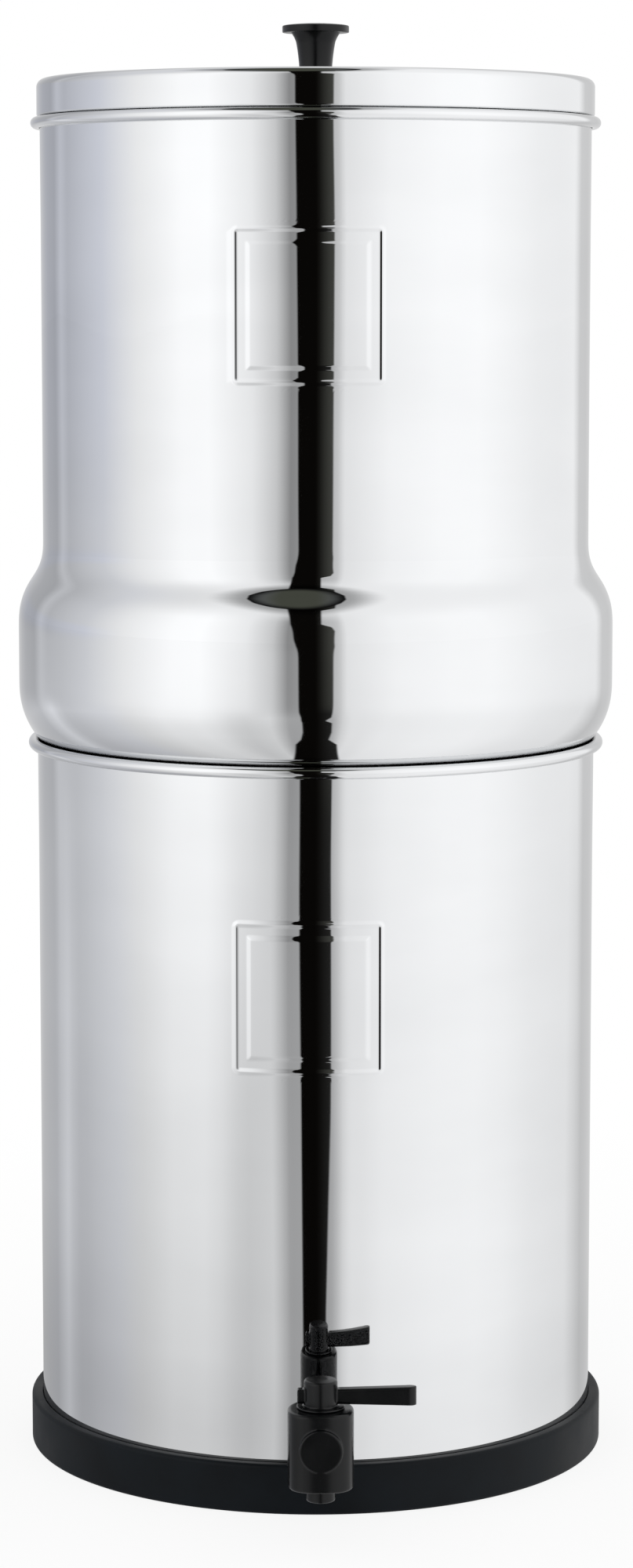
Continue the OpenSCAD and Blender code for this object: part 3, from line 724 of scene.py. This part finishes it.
def tap_turned(section):
    """A form turned round the tap's upright axis."""
    mesh = turned(section, TAP_SIDES, BLACK)
    mesh.transform(Matrix.Translation((0, TAP_Y * MM, 0)))
    return mesh


def along_y(section, z):
    """A turned form whose axis lies along -Y at height z. Its section's heights are distances from the
    chamber's axis."""
    mesh = turned(section, TAP_SIDES, BLACK)
    mesh.transform(Matrix.Translation((0, 0, z * MM)) @ Matrix.Rotation(math.radians(90), 4, "X"))
    return mesh


def squarer(mesh, power=3.0):
    """Flattens the front half of a round barrel, so that its section turns towards a square with round corners."""
    for vertex in mesh.vertices:
        x, y = vertex.co.x, vertex.co.y - TAP_Y * MM
        reach = math.hypot(x, y)
        if y < 0 and reach > 0:
            side, fore = abs(x) / reach, -y / reach
            part = (side ** power + fore ** power) ** (-1 / power)
            vertex.co.x, vertex.co.y = x * part, y * part + TAP_Y * MM
    return mesh


barrel = squarer(tap_turned([(0, BODY_FOOT), (8, BODY_FOOT)] + arc((BODY_R - 1, BODY_FOOT + 1), 1, -90, 0, 15)
                            + upright(BODY_R, BODY_FOOT + 1, BODY_TOP - 1, step=3)
                            + arc((BODY_R - 1, BODY_TOP - 1), 1, 0, 90, 15) + [(8, BODY_TOP), (0, BODY_TOP)]))
front = -TAP_Y + BODY_R + BOSS_OUT
boss = along_y([(0, -TAP_Y), (BOSS_R, -TAP_Y)] + arc((BOSS_R - 0.4, front - 0.4), 0.4, 0, 90, 18)
               + [(0, front)], TAP_Z + BOSS_UP)
neck = along_y([(0, -FLANGE_Y), (10, -FLANGE_Y), (10, -FLANGE_Y + 2.6), (9.6, -FLANGE_Y + 3),
                (8.9, -FLANGE_Y + 3.2), (8.4, -FLANGE_Y + 4), (8.4, -TAP_Y), (0, -TAP_Y)], TAP_Z)
shank = along_y([(0, -SHANK_END_Y), (6.9, -SHANK_END_Y), (SHANK_CORE_R, -SHANK_END_Y + 0.4),
                 (SHANK_CORE_R, -FLANGE_Y + 1), (0, -FLANGE_Y + 1)], TAP_Z)
tap_body = drilled(moulded([barrel, boss, neck, shank], 0.3, 4), [
    cylinder(PLUG_R + 0.05, BODY_FOOT + 2.2, BODY_TOP + 4, 128, (0, TAP_Y, 0)),
    cylinder(SPOUT_R + 0.3, BODY_FOOT - 2, BODY_FOOT + 4, 96, (0, TAP_Y, 0)),
    cylinder(4.0, SHANK_END_Y - 62, SHANK_END_Y + 2, 64, (0, 0, TAP_Z), "Y")])
piece("tap_barrel", crisp(coat(tap_body, BLACK), 40), "base_unit", ["tap_body"])


def thread(r, pitch, length, finish, matrix):
    """A thread's ridge, moved by a matrix."""
    mesh = grown(THREAD, bpy.data.meshes.new("none"), Radius=r * MM, Pitch=pitch * MM, Length=length * MM,
                 Finish=finish)
    mesh.transform(matrix)
    return outward(mesh)


piece("tap_shank_thread", thread(SHANK_R, SHANK_PITCH, SHANK_THREAD_L, BLACK,
                                 Matrix.Translation((0, (SHANK_END_Y - 0.6) * MM, TAP_Z * MM))
                                 @ Matrix.Rotation(math.radians(90), 4, "X")), "base_unit")

# The plug with its spout, collar, cap and lever
core = tap_turned([(0, SPOUT_END), (SPOUT_R - 0.3, SPOUT_END), (SPOUT_R, SPOUT_END + 0.4),
                   (SPOUT_R, BODY_FOOT + 2.25), (PLUG_R, BODY_FOOT + 2.25), (PLUG_R, COLLAR_Z),
                   (COLLAR_R - 0.2, COLLAR_Z), (COLLAR_R, COLLAR_Z + 0.2), (COLLAR_R, CAP_Z - 0.2),
                   (COLLAR_R - 0.2, CAP_Z), (CAP_R, CAP_Z)] + arc((CAP_R - 0.9, CAP_TOP - 0.7), 0.9, 0, 80, 16)
                  + [(2.5, CAP_TOP + 0.45), (0, CAP_TOP + 0.5)])


def lever_mesh():
    """The lever: a flat paddle that grows deeper towards its tip, with a round end."""
    work = bmesh.new()
    stations = [-STUB_L] + list(np.linspace(0, LEVER_L - LEVER_W / 2, 16)) + [
        LEVER_L - LEVER_W / 2 * (1 - math.sin(math.radians(a))) for a in (20, 40, 60, 75, 86)]
    rings = []
    for x in stations:
        half_h = (LEVER_ROOT_H + (LEVER_TIP_H - LEVER_ROOT_H) * max(0, x) / LEVER_L) / 2
        past = max(0, x - (LEVER_L - LEVER_W / 2)) / (LEVER_W / 2)
        half_w = LEVER_W / 2 * math.sqrt(max(0.0, 1 - past * past))
        ring = []
        r = min(LEVER_EDGE, half_w * 0.8)
        for sx, sz, a0 in ((1, 1, 0), (-1, 1, 90), (-1, -1, 180), (1, -1, 270)):
            for k in range(4):
                a = math.radians(a0 + 30 * k)
                y = TAP_Y + sx * (half_w - r) + r * math.cos(a)
                z = LEVER_Z + sz * (half_h - LEVER_EDGE) + LEVER_EDGE * math.sin(a)
                ring.append(work.verts.new((x * MM, y * MM, z * MM)))
        rings.append(ring)
    for a, b in zip(rings, rings[1:]):
        for i in range(len(ring)):
            j = (i + 1) % len(ring)
            work.faces.new((a[i], a[j], b[j], b[i]))
    work.faces.new(rings[0][::-1])
    work.faces.new(rings[-1])
    bmesh.ops.recalc_face_normals(work, faces=work.faces)
    return written(work, bpy.data.meshes.new("lever"))


plug = drilled(moulded([core, lever_mesh()], 0.25, 3),
               [cylinder(WATER_WAY_R, SPOUT_END - 2, TAP_Z, 64, (0, TAP_Y, 0))])
piece("tap_plug_and_lever", crisp(coat(plug, BLACK), 40), "tap_valve", ["tap_plug"])

# ---------------------------------------------------------------- candles


def four(mesh, finish):
    """A candle's piece, set in each candle's place."""
    return outward(grown(CIRCLE, mesh, Count=4, Radius=CANDLE_RING_R * MM,
                         **{"First Angle": math.radians(FIRST_CANDLE), "Finish": finish}))


def candle_nodes(kind):
    """The names of the nodes for one kind of piece of the four candles."""
    return [f"candle_{i}_{kind}" for i in (1, 2, 3, 4)]


dome_z, bore_r = CERAMIC_TOP - DOME_R, CANDLE_R - CERAMIC_T
shell_section = ([(bore_r, CERAMIC_Z), (CANDLE_R - 0.6, CERAMIC_Z), (CANDLE_R, CERAMIC_Z + 0.6)]
                 + upright(CANDLE_R, CERAMIC_Z + 1, dome_z, step=12)
                 + arc((CANDLE_R - DOME_R, dome_z), DOME_R, 0, 90, 5) + [(3, CERAMIC_TOP), (0, CERAMIC_TOP)])
inner_section = ([(0, CERAMIC_TOP - CERAMIC_T), (3, CERAMIC_TOP - CERAMIC_T)]
                 + arc((CANDLE_R - DOME_R, dome_z), DOME_R - CERAMIC_T, 90, 0, 9)
                 + upright(bore_r, dome_z, CERAMIC_Z + 1, step=30) + [(bore_r, CERAMIC_Z)])
piece("candle_shells", crisp(four(turned(shell_section + inner_section, 80, CERAMIC), CERAMIC), 50), "filter_unit",
      candle_nodes("ceramic"))

cup_section = ([(3, CUP_Z + CUP_FLOOR), (3, STEM_END), (4.9, STEM_END), (5.4, STEM_END + 0.5), (5.4, CUP_Z - 1),
                (5.9, CUP_Z - 0.4), (5.9, CUP_Z), (CUP_R - 1, CUP_Z), (CUP_R, CUP_Z + 1),
                (CUP_R, CUP_Z + CUP_H - 2.2), (CUP_R - 0.4, CUP_Z + CUP_H - 1.8),
                (CUP_R - 0.4, CUP_Z + CUP_H - 0.4), (CUP_R - 0.8, CUP_Z + CUP_H), (25.1, CUP_Z + CUP_H),
                (25.05, CUP_Z + CUP_FLOOR), (3, CUP_Z + CUP_FLOOR)])
piece("candle_cups", crisp(four(turned(cup_section, 96, WHITE), WHITE), 30), "filter_unit",
      candle_nodes("base"))
STEM_PITCH, STEM_THREAD_L = 1.75, 26
stem_thread = thread(STEM_R, STEM_PITCH, STEM_THREAD_L, WHITE,
                     Matrix.Translation((0, 0, (STEM_END + 1.2) * MM)))
piece("candle_stem_threads", four(stem_thread, WHITE), "filter_unit")

washer_z = FLOOR_Z + WALL + CONTACT
washer_section = [(6.1, washer_z), (14.6, washer_z), (15, washer_z + 0.4), (15, washer_z + 2.6), (14.6, washer_z + 3),
                  (6.1, washer_z + 3), (6.1, washer_z)]
piece("candle_washers", crisp(four(turned(washer_section, 72, RUBBER), RUBBER), 30), "filter_unit",
      candle_nodes("washer"))


def wing_form(side):
    """One flat wing of a wing nut, towards +X for side 1 and -X for side -1."""
    work = bmesh.new()
    outline = ([(STEM_R + 1, 0)] + arc((WING_REACH - 2.5, 2.5), 2.5, -90, 0, 15)
               + arc((WING_REACH - 2.5, WING_H - 2.5), 2.5, 0, 90, 15) + [(STEM_R + 1, WING_H - 1)])
    faces = []
    for y in (-WING_T / 2, WING_T / 2):
        corners = [work.verts.new((side * x * MM, y * MM, (WING_Z + z) * MM)) for x, z in outline]
        faces.append(work.faces.new(corners))
    n = len(outline)
    for i in range(n):
        a, b = faces[0].verts[i], faces[0].verts[(i + 1) % n]
        work.faces.new((a, b, faces[1].verts[(i + 1) % n], faces[1].verts[i]))
    bmesh.ops.recalc_face_normals(work, faces=work.faces)
    return written(work, bpy.data.meshes.new("wing"))


hub = turned([(0, WING_Z), (WING_HUB_R - 1, WING_Z), (WING_HUB_R, WING_Z + 1), (WING_HUB_R, WING_Z + WING_H - 0.4),
              (WING_HUB_R - 0.4, WING_Z + WING_H), (0, WING_Z + WING_H)], 72, WHITE)
wing_nut = drilled(moulded([hub, wing_form(1), wing_form(-1)], 0.45, 3),
                   [cylinder(STEM_R + 0.05, WING_Z - 2, WING_Z + WING_H + 2, 48)])
piece("candle_wing_nuts", crisp(four(wing_nut, WHITE), 40), "filter_unit",
      candle_nodes("wing_nut"))

# ---------------------------------------------------------------- CAD nodes that keep their own shape

for name, finish in (("tap_washer_outer", RUBBER), ("tap_washer_inner", RUBBER), ("tap_back_nut", BLACK),
                     ("tap_o_ring_lower", RUBBER), ("tap_o_ring_upper", RUBBER), ("lid_washer", ZINC),
                     ("lid_screw", ZINC)):
    coat(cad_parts[name].data, finish)

# ---------------------------------------------------------------- camera

# The camera's place in metres before it is turned round the chambers' axis, and its turn and tilt in degrees
CAMERA_PLACE, CAMERA_TURN, CAMERA_TILT = (0.0003, -1.526, 0.4425), -0.71, 7.16

camera_data = bpy.data.cameras.new("camera")
camera_data.lens = 93.55
camera_data.sensor_width = 36
camera_data.clip_start, camera_data.clip_end = 0.01, 200
camera = placed("camera", camera_data)
turn_z = math.radians(CAMERA_TURN)
camera.location = Matrix.Rotation(turn_z, 3, "Z") @ Vector(CAMERA_PLACE)
camera.rotation_euler = (math.radians(90 - CAMERA_TILT), 0, turn_z)
bpy.context.scene.camera = camera

# ---------------------------------------------------------------- studio

# The studio's light by compass angle from the camera, positive towards +X: a big softbox on each side of the
# camera, and greyer walls beside and behind the filter. LEVEL is at the height of the eye, LOW towards the floor,
# and CANOPY overhead
LEVEL = [(-180, 0.72), (-152, 0.5), (-140, 0.48), (-133, 0.67), (-126, 0.59), (-100, 0.81), (-79, 1.11),
         (-57, 1.35), (-45, 1.37), (-27, 1.13), (-17, 0.78), (-11, 0.32), (8, 0.72), (11, 1.04), (30, 1.24),
         (52, 1.32), (70, 1.33), (104, 1.18), (122, 1.14), (137, 1.12), (145, 0.76), (156, 0.7), (180, 0.72)]
LOW = [(-180, 0.75), (-138, 0.75), (-131, 0.92), (-126, 1.03), (-121, 0.9), (-116, 0.82), (-110, 0.84),
       (-100, 0.93), (-90, 1.01), (-77, 1.13), (-62, 1.32), (-47, 1.36), (-40, 1.27), (-33, 1.09), (-28, 1.01),
       (-18, 1.0), (-11, 0.52), (5, 0.5), (7.5, 0.68), (10, 0.93), (13, 1.07), (18, 1.09), (27, 1.18),
       (50, 1.25), (68, 1.27), (83, 1.23), (97, 1.15), (127, 1.05), (145, 0.7), (180, 0.75)]
CANOPY = [(-180, 0.9), (-95, 0.9), (-66, 1.0), (-50, 1.07), (0, 1.08), (40, 1.17), (75, 1.19), (115, 1.17),
          (180, 0.9)]

# The filter's wide soft shadow, as the steel mirrors it: (metres from the axis, share of the light), on the left
# and on the right of the filter. It ends within SHADE_REACH
SHADE_REACH = 3
SHADE_LEFT = [(0.2, 0.6), (0.3, 0.66), (0.37, 0.69), (0.49, 0.74), (0.68, 0.77), (0.98, 0.83), (1.36, 0.89),
              (2.4, 0.955), (3.0, 0.98)]
SHADE_RIGHT = [(0.2, 0.87), (0.3, 0.92), (0.37, 0.94), (0.49, 0.95), (0.68, 0.95), (1.36, 0.965), (3.0, 0.99)]

# The reach of the black gap between the softboxes, to its left and right, by how steeply one looks up or down:
# all three are parts of the direction's unit length
GAP = [(-1.0, 0.1, 0.1), (-0.74, 0.12, 0.11), (-0.65, 0.096, 0.067), (-0.5, 0.09, 0.088), (-0.3, 0.098, 0.094),
       (-0.255, 0.105, 0.052), (-0.225, 0.107, 0.071), (-0.2, 0.108, 0.09), (-0.14, 0.121, 0.099),
       (-0.1, 0.124, 0.104), (-0.05, 0.141, 0.114), (0.0, 0.15, 0.112), (0.04, 0.155, 0.112), (0.1, 0.158, 0.112),
       (0.26, 0.161, 0.114), (0.36, 0.165, 0.093), (0.43, 0.17, 0.026), (0.74, 0.165, 0.024), (0.78, 0.165, 0.1),
       (1.0, 0.165, 0.1)]


def studio_world():
    """The studio that the steel mirrors. The camera itself sees plain white, and matt surfaces get even light."""
    world = bpy.data.worlds.new("studio")
    bpy.context.scene.world = world
    tree = bare_tree(world)

    def maths(operation, *values):
        return add(tree, "ShaderNodeMath", dict(enumerate(values)), operation=operation).outputs[0]

    def ranged(value, low, high):
        return add(tree, "ShaderNodeMapRange", {"Value": value, "From Min": low, "From Max": high},
                   interpolation_type="SMOOTHSTEP").outputs[0]

    def mixed(share, one, other):
        return add(tree, "ShaderNodeMix", {0: share, 6: one, 7: other}, data_type="RGBA").outputs[2]

    def lights(stops, cool):
        """The walls' light, a little bluer on the left, where daylight comes in."""
        tints = [(1.25 - 0.25 * cool, 1, cool) if -170 < angle < -85 else (1, 1, 1.004) for angle, _ in stops]
        return by_stops(tree, share, [((angle + 180) / 360, (*(level * part for part in colour), 1))
                                      for (angle, level), colour in zip(stops, tints)])

    way = add(tree, "ShaderNodeSeparateXYZ", {0: add(tree, "ShaderNodeTexCoord").outputs["Generated"]}).outputs
    compass = maths("MULTIPLY", maths("ARCTAN2", way[0], maths("MULTIPLY", way[1], -1.0)), 180 / math.pi)
    share = maths("MULTIPLY_ADD", compass, 1 / 360, 0.5)
    off_level = maths("MAXIMUM", ranged(way[2], -0.02, -0.09), ranged(way[2], 0.03, 0.12))
    walls = mixed(off_level, lights(LEVEL, 1.1), lights(LEVEL, 1.045))
    walls = mixed(ranged(way[2], -0.05, -0.24), walls, lights(LOW, 1.045))
    walls = mixed(ranged(way[2], 0.45, 0.85), walls, lights(CANOPY, 1.04))

    # The gap between the softboxes, in which the camera stands
    steep = maths("MULTIPLY_ADD", way[2], 0.5, 0.5)
    reach = add(tree, "ShaderNodeSeparateColor", {0: by_stops(tree, steep, [
        ((z + 1) / 2, (left, right, 0, 1)) for z, left, right in GAP])}).outputs
    in_front = ranged(way[1], 0.02, -0.02)
    gap = maths("MULTIPLY", in_front, maths("MULTIPLY", ranged(maths("ADD", reach[0], way[0]), -0.008, 0.008),
                                            ranged(maths("SUBTRACT", reach[1], way[0]), -0.008, 0.008)))
    dusk = mixed(ranged(way[2], -0.16, -0.08), (0.025, 0.025, 0.024, 1), (0.068, 0.069, 0.061, 1))
    backdrop = mixed(ranged(way[0], -0.02, 0.13), (0.0035, 0.003, 0.0025, 1), dusk)
    room = mixed(gap, walls, backdrop)

    # The dark opening in the canopy, above the camera, with a black hem and a soft shade round it
    up = maths("MAXIMUM", way[2], 0.3)
    across = maths("DIVIDE", maths("ADD", maths("DIVIDE", way[0], up), 0.11), 0.31)
    forward = maths("DIVIDE", maths("ADD", maths("DIVIDE", way[1], up), 0.29), 0.56)
    edge = maths("SQRT", maths("ADD", maths("MULTIPLY", across, across), maths("MULTIPLY", forward, forward)))
    lining = mixed(ranged(maths("ABSOLUTE", across), 0.3, 0.8), (0.072, 0.076, 0.06, 1), (0.11, 0.115, 0.115, 1))
    opening = mixed(ranged(edge, 1.0, 0.7), (0.006, 0.006, 0.006, 1), lining)
    shade = maths("MULTIPLY_ADD", ranged(edge, 1.0, 1.8), 0.58, 0.42)
    shaded = add(tree, "ShaderNodeMix", {0: 1.0, 6: room, 7: shade}, data_type="RGBA",
                 blend_type="MULTIPLY").outputs[2]
    room = mixed(ranged(edge, 1.03, 0.98), shaded, opening)

    path = add(tree, "ShaderNodeLightPath").outputs
    seen = mixed(path["Is Camera Ray"], room, (1, 1, 1, 1))
    soft = mixed(path["Is Diffuse Ray"], seen, (0.95, 0.95, 0.95, 1))
    sky = add(tree, "ShaderNodeBackground", {"Color": soft, "Strength": 1.0})
    add(tree, "ShaderNodeOutputWorld", {0: sky.outputs[0]})


def studio_floor():
    """A plain white floor that keeps the filter's shadow and runs out into the white background."""
    mesh = bpy.data.meshes.new("studio_floor")
    mesh.from_pydata([(-30, -30, 0), (30, -30, 0), (30, 30, 0), (-30, 30, 0)], [], [(0, 1, 2, 3)])
    floor = placed("studio_floor", mesh)
    mat = bpy.data.materials.new("studio_floor_white")
    tree = bare_tree(mat)
    place = add(tree, "ShaderNodeTexCoord").outputs["Object"]
    far = add(tree, "ShaderNodeVectorMath", {0: place}, operation="LENGTH").outputs["Value"]
    fade = add(tree, "ShaderNodeMapRange", {"Value": far, "From Min": 0.16, "From Max": 0.6,
                                            "To Min": 0.0, "To Max": 1.0}).outputs[0]
    matt = add(tree, "ShaderNodeBsdfDiffuse", {"Color": rgb("#f4f4f4")}).outputs[0]
    glow = add(tree, "ShaderNodeEmission", {"Color": (1, 1, 1, 1), "Strength": 1.0}).outputs[0]
    half = add(tree, "ShaderNodeMapRange", {"Value": fade, "To Min": 0.86, "To Max": 1.0}).outputs[0]
    shown = add(tree, "ShaderNodeMixShader", {0: half, 1: matt, 2: glow}).outputs[0]
    out_by = add(tree, "ShaderNodeMath", {0: far, 1: 1 / SHADE_REACH}, operation="MULTIPLY").outputs[0]
    shades = [by_stops(tree, out_by, [(r / SHADE_REACH, (part, part, part, 1)) for r, part in stops])
              for stops in (SHADE_LEFT, SHADE_RIGHT)]
    sideways = add(tree, "ShaderNodeSeparateXYZ", {0: place}).outputs[0]
    side = add(tree, "ShaderNodeMath", {0: sideways, 1: far}, operation="DIVIDE").outputs[0]
    right = add(tree, "ShaderNodeMapRange", {"Value": side, "From Min": -0.55, "From Max": 0.05},
                interpolation_type="SMOOTHSTEP").outputs[0]
    shade = add(tree, "ShaderNodeMix", {0: right, 6: shades[0], 7: shades[1]}, data_type="RGBA").outputs[2]
    clear = add(tree, "ShaderNodeBsdfTransparent", {"Color": shade}).outputs[0]
    path = add(tree, "ShaderNodeLightPath").outputs
    camera_side = add(tree, "ShaderNodeMixShader", {0: path["Is Camera Ray"], 1: matt, 2: shown}).outputs[0]
    glossy = add(tree, "ShaderNodeMath", {0: path["Is Glossy Ray"], 1: path["Is Transmission Ray"]},
                 operation="MAXIMUM").outputs[0]
    out = add(tree, "ShaderNodeMixShader", {0: glossy, 1: camera_side, 2: clear}).outputs[0]
    add(tree, "ShaderNodeOutputMaterial", {"Surface": out})
    mesh.materials.append(mat)


studio_world()
studio_floor()
bpy.context.scene.view_settings.view_transform = "Standard"
